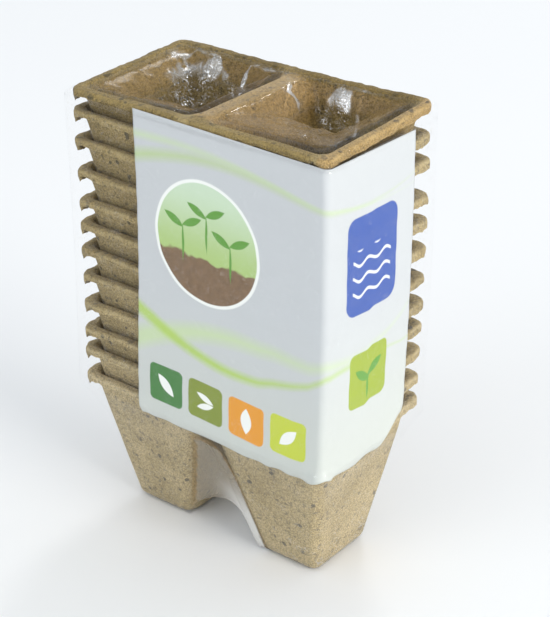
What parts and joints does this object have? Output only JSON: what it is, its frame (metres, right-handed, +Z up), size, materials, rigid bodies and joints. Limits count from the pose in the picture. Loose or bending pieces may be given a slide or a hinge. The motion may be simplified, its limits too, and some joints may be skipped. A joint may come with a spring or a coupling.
{
  "type": "peat pot pack",
  "caption": "Pack of nested square seedling pots pressed from fibre, joined side by side, in a printed paper sleeve and clear shrink film; the pots lift out of the stack.",
  "frame": {"origin": "middle of the underside, on the surface that the pack stands on", "axes": "+Z up along the stack, +X along the rims towards the end that the sleeve covers, -Y the front"},
  "size_m": [0.1216, 0.0666, 0.1802],
  "materials": {
    "pressed_fibre": "matte",
    "printed_paper": "satin",
    "clear_film": "gloss"
  },
  "bodies": {
    "base": {"pot_pair_01": "pressed_fibre", "paper_sleeve": "printed_paper", "film_wrap": "clear_film"},
    "pair_02": {"pot_pair_02": "pressed_fibre"},
    "pair_03": {"pot_pair_03": "pressed_fibre"},
    "pair_04": {"pot_pair_04": "pressed_fibre"},
    "pair_05": {"pot_pair_05": "pressed_fibre"},
    "pair_06": {"pot_pair_06": "pressed_fibre"},
    "pair_07": {"pot_pair_07": "pressed_fibre"},
    "pair_08": {"pot_pair_08": "pressed_fibre"},
    "pair_09": {"pot_pair_09": "pressed_fibre"},
    "pair_10": {"pot_pair_10": "pressed_fibre"},
    "pair_11": {"pot_pair_11": "pressed_fibre"},
    "pair_12": {"pot_pair_12": "pressed_fibre"},
    "cover": {"film_cover": "clear_film"}
  },
  "joints": [
    {"name": "pair_02_lift", "type": "slide", "parent": "base", "child": "pair_02", "axis": [0, 0, 1], "range_m": [0, 0.06]},
    {"name": "pair_03_lift", "type": "slide", "parent": "pair_02", "child": "pair_03", "axis": [0, 0, 1], "range_m": [0, 0.06]},
    {"name": "pair_04_lift", "type": "slide", "parent": "pair_03", "child": "pair_04", "axis": [0, 0, 1], "range_m": [0, 0.06]},
    {"name": "pair_05_lift", "type": "slide", "parent": "pair_04", "child": "pair_05", "axis": [0, 0, 1], "range_m": [0, 0.06]},
    {"name": "pair_06_lift", "type": "slide", "parent": "pair_05", "child": "pair_06", "axis": [0, 0, 1], "range_m": [0, 0.06]},
    {"name": "pair_07_lift", "type": "slide", "parent": "pair_06", "child": "pair_07", "axis": [0, 0, 1], "range_m": [0, 0.06]},
    {"name": "pair_08_lift", "type": "slide", "parent": "pair_07", "child": "pair_08", "axis": [0, 0, 1], "range_m": [0, 0.06]},
    {"name": "pair_09_lift", "type": "slide", "parent": "pair_08", "child": "pair_09", "axis": [0, 0, 1], "range_m": [0, 0.06]},
    {"name": "pair_10_lift", "type": "slide", "parent": "pair_09", "child": "pair_10", "axis": [0, 0, 1], "range_m": [0, 0.06]},
    {"name": "pair_11_lift", "type": "slide", "parent": "pair_10", "child": "pair_11", "axis": [0, 0, 1], "range_m": [0, 0.06]},
    {"name": "pair_12_lift", "type": "slide", "parent": "pair_11", "child": "pair_12", "axis": [0, 0, 1], "range_m": [0, 0.06]},
    {"name": "cover_lift", "type": "slide", "parent": "pair_12", "child": "cover", "axis": [0, 0, 1], "range_m": [0, 0.04]}
  ]
}
